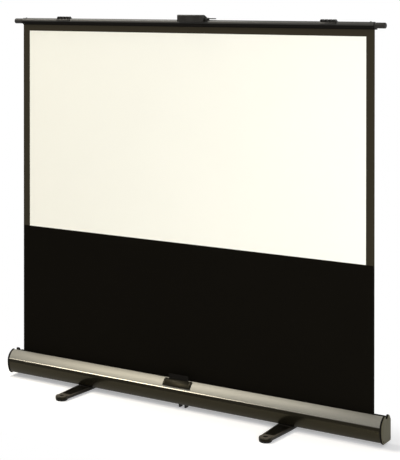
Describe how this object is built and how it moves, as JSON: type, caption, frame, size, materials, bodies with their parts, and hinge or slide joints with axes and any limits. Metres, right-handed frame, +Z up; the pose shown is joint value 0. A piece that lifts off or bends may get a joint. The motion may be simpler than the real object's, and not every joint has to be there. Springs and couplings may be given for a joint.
{
  "type": "portable floor-standing projector screen",
  "caption": "Floor-standing projector screen whose fabric pulls up out of a long case on folding scissor arms; carry handle on the top bar, swivelling feet below.",
  "frame": {"origin": "on the floor under the middle of the case, at the middle of the overall box", "axes": "+X along the screen to the viewer's right, -Y towards the viewer, +Z up"},
  "size_m": [1.96, 0.486, 1.786],
  "materials": {
    "silver_cover": "brushed silver anodised extrusion",
    "black_extrusion": "smooth black finish, mildly glossy",
    "black_plastic": "fine-grained moulded black",
    "cap_plastic": "moulded grey-green end cap",
    "foot_plastic": "gloss black moulding",
    "rubber": "black rubber",
    "steel": "plated steel",
    "arm_metal": "mill-finish aluminium bar",
    "screen_fabric": "matt white screen cloth with a black border",
    "black_cloth": "black-backed screen cloth and felt"
  },
  "bodies": {
    "case": {"case_body": "black_extrusion", "front_cover": "silver_cover", "slot_felt": "black_cloth", "bar_catch": "black_plastic", "end_cap_left": "cap_plastic", "end_cap_right": "cap_plastic", "cap_screw_left_rear": "steel", "cap_screw_left_front": "steel", "cap_screw_right_rear": "steel", "cap_screw_right_front": "steel", "centre_support": "black_plastic", "foot_pivot_left": "steel", "foot_pivot_right": "steel", "idle_axle": "steel", "spring_shaft": "steel", "torsion_spring": "steel", "projection_fabric": "screen_fabric", "lower_bracket": "steel", "rivet_lower_bracket": "steel"},
    "roller": {"roller_tube": "arm_metal", "fabric_wraps": "black_cloth", "roller_plug_left": "black_plastic", "roller_plug_right": "black_plastic"},
    "lower_front_arm": {"lower_arm_front": "arm_metal", "rivet_lower_middle": "steel", "rivet_elbow_right": "steel"},
    "lower_rear_arm": {"lower_arm_rear": "arm_metal", "rivet_elbow_left": "steel"},
    "upper_rear_arm": {"upper_arm_rear": "arm_metal"},
    "upper_front_arm": {"upper_arm_front": "arm_metal", "rivet_upper_middle": "steel"},
    "bar": {"top_bar": "black_extrusion", "fabric_spline": "black_plastic", "bar_plug_left": "black_plastic", "bar_plug_right": "black_plastic", "plug_screw_left": "steel", "plug_screw_right": "steel", "bar_saddle_left": "black_plastic", "bar_saddle_right": "black_plastic", "handle_base": "black_plastic", "handle_pin": "steel", "lever_pin": "steel", "upper_bracket": "steel", "rivet_upper_bracket": "steel"},
    "low_shoe": {"lower_shoe": "steel", "rivet_lower_shoe": "steel"},
    "high_shoe": {"upper_shoe": "steel", "rivet_upper_shoe": "steel"},
    "handle": {"carry_handle": "black_plastic"},
    "lever": {"release_lever": "steel"},
    "left_foot": {"foot_left": "foot_plastic", "foot_pad_left_front": "rubber", "foot_pad_left_rear": "rubber", "pad_screw_left_front": "steel", "pad_screw_left_rear": "steel"},
    "right_foot": {"foot_right": "foot_plastic", "foot_pad_right_front": "rubber", "foot_pad_right_rear": "rubber", "pad_screw_right_front": "steel", "pad_screw_right_rear": "steel"}
  },
  "joints": [
    {"name": "scissor_fold", "type": "hinge", "parent": "case", "child": "lower_front_arm", "pos_m": [-0.72, 0.0267, 0.044], "axis": [0, 1, 0], "range_deg": [0, 30.14], "deforming": ["projection_fabric"]},
    {"name": "lower_cross_pivot", "type": "hinge", "parent": "lower_front_arm", "child": "lower_rear_arm", "pos_m": [-0.025, 0.03, 0.46175], "axis": [0, 1, 0], "range_deg": [-60.29, 0]},
    {"name": "right_elbow_pivot", "type": "hinge", "parent": "lower_front_arm", "child": "upper_rear_arm", "pos_m": [0.67, 0.03, 0.8795], "axis": [0, 1, 0], "range_deg": [-60.29, 0]},
    {"name": "left_elbow_pivot", "type": "hinge", "parent": "lower_rear_arm", "child": "upper_front_arm", "pos_m": [-0.72, 0.03, 0.8795], "axis": [0, 1, 0], "range_deg": [0, 60.29]},
    {"name": "bar_pivot", "type": "hinge", "parent": "upper_rear_arm", "child": "bar", "pos_m": [-0.72, 0.03325, 1.715], "axis": [0, 1, 0], "range_deg": [0, 30.14]},
    {"name": "lower_shoe_pivot", "type": "hinge", "parent": "lower_rear_arm", "child": "low_shoe", "pos_m": [0.67, 0.03325, 0.044], "axis": [0, 1, 0], "range_deg": [0, 30.14]},
    {"name": "upper_shoe_pivot", "type": "hinge", "parent": "upper_front_arm", "child": "high_shoe", "pos_m": [0.67, 0.02675, 1.715], "axis": [0, 1, 0], "range_deg": [-30.14, 0]},
    {"name": "roller_spin", "type": "hinge", "parent": "case", "child": "roller", "pos_m": [0, -0.01225, 0.074], "axis": [-1, 0, 0], "continuous": true},
    {"name": "left_foot_swivel", "type": "hinge", "parent": "case", "child": "left_foot", "pos_m": [-0.53, 0, 0.015], "axis": [0, 0, -1], "range_deg": [0, 90]},
    {"name": "right_foot_swivel", "type": "hinge", "parent": "case", "child": "right_foot", "pos_m": [0.53, 0, 0.015], "axis": [0, 0, 1], "range_deg": [0, 90]},
    {"name": "handle_fold", "type": "hinge", "parent": "bar", "child": "handle", "pos_m": [0.0425, 0.035, 1.761], "axis": [-1, 0, 0], "range_deg": [0, 95]},
    {"name": "lever_lift", "type": "hinge", "parent": "bar", "child": "lever", "pos_m": [0.119, 0.008, 1.7686], "axis": [0, -1, 0], "range_deg": [0, 60], "stiffness_Nm_per_rad": 0.08, "springref_deg": -34.38}
  ],
  "couplings": [
    {"joint": "lower_cross_pivot", "follows": "scissor_fold", "ratio": -2},
    {"joint": "right_elbow_pivot", "follows": "scissor_fold", "ratio": -2},
    {"joint": "left_elbow_pivot", "follows": "scissor_fold", "ratio": 2},
    {"joint": "bar_pivot", "follows": "scissor_fold", "ratio": 1},
    {"joint": "lower_shoe_pivot", "follows": "scissor_fold", "ratio": 1},
    {"joint": "upper_shoe_pivot", "follows": "scissor_fold", "ratio": -1},
    {"joint": "roller_spin", "follows": "scissor_fold", "ratio": 140.8}
  ]
}
